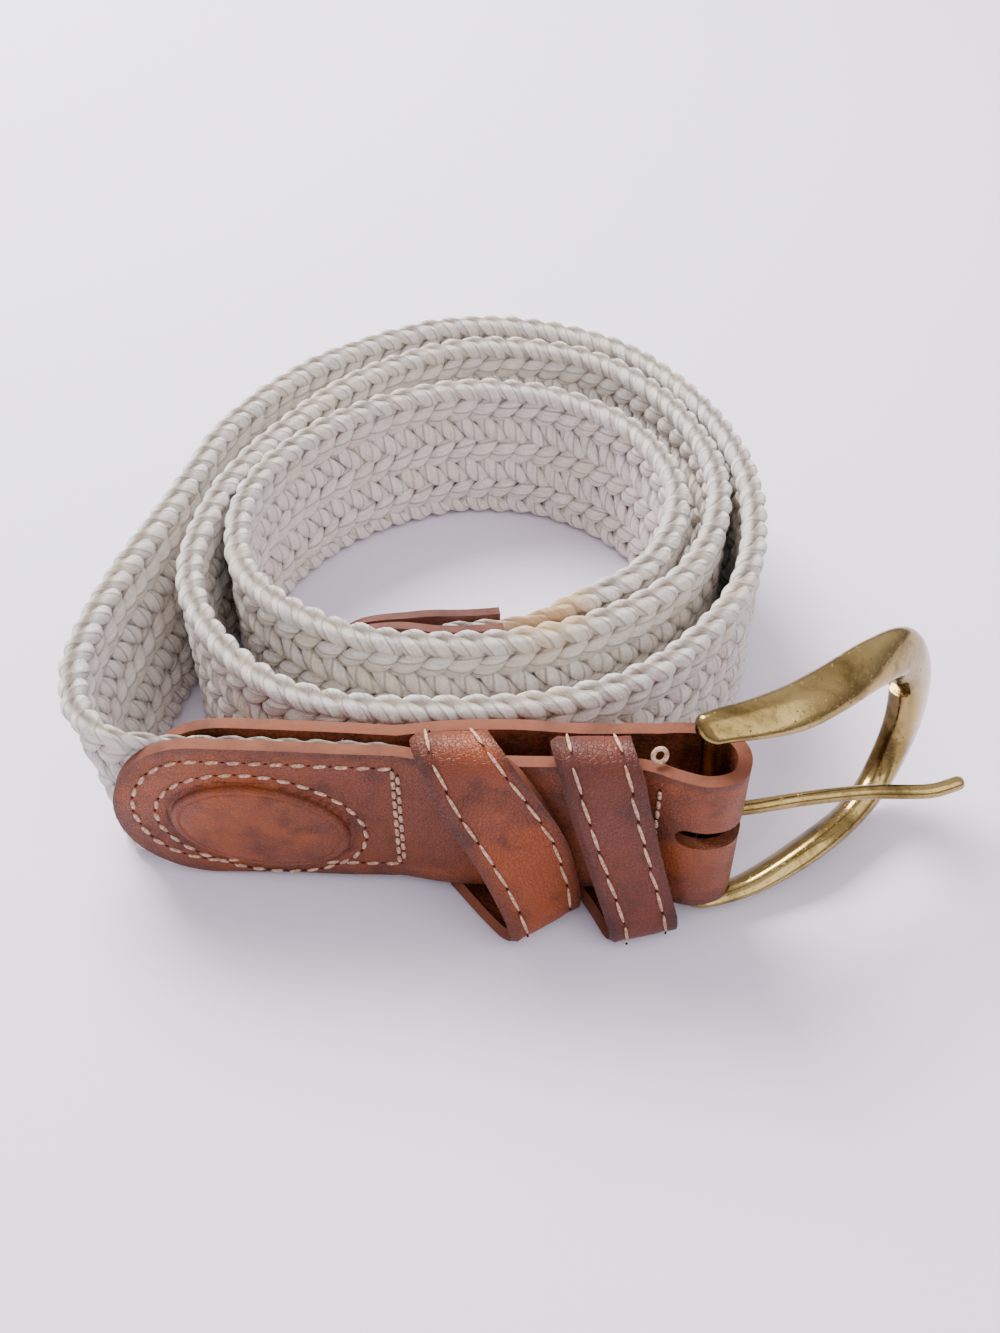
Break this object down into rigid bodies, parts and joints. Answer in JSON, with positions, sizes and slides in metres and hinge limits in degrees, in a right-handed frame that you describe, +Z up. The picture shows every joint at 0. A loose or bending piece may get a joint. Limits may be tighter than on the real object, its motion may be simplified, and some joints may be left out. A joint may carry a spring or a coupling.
{
  "type": "braided belt",
  "caption": "Flat braided cotton belt, coiled on its edge, with a stitched leather buckle tab, oval badge, leather keepers, leather tip and brass buckle.",
  "frame": {"origin": "middle of the footprint's bounding box, on the surface the belt stands on", "axes": "+Z up along the strap's width, -Y out of the buckle tab's front face, +X along the tab towards the buckle"},
  "size_m": [0.1556, 0.1494, 0.0453],
  "materials": {
    "cotton_braid": "matte",
    "tab_leather": "satin",
    "tip_leather": "matte",
    "brass": "worn"
  },
  "bodies": {
    "belt": {"braided_strap": "cotton_braid", "buckle_tab": "tab_leather", "oval_badge": "tab_leather", "keeper_loop_left": "tab_leather", "keeper_loop_right": "tab_leather", "tip_leaf_outer": "tip_leather", "tip_leaf_inner": "tip_leather"},
    "buckle": {"buckle_frame": "brass"},
    "prong": {"buckle_prong": "brass"}
  },
  "joints": [
    {"name": "buckle_swing", "type": "hinge", "parent": "belt", "child": "buckle", "pos_m": [0.03439, -0.06262, 0.0228], "axis": [-0.0521, 0.094, 0.9942], "range_deg": [-60, 15]},
    {"name": "prong_swing", "type": "hinge", "parent": "buckle", "child": "prong", "pos_m": [0.03439, -0.06262, 0.0228], "axis": [-0.0521, 0.094, 0.9942], "range_deg": [-45, 18]}
  ]
}
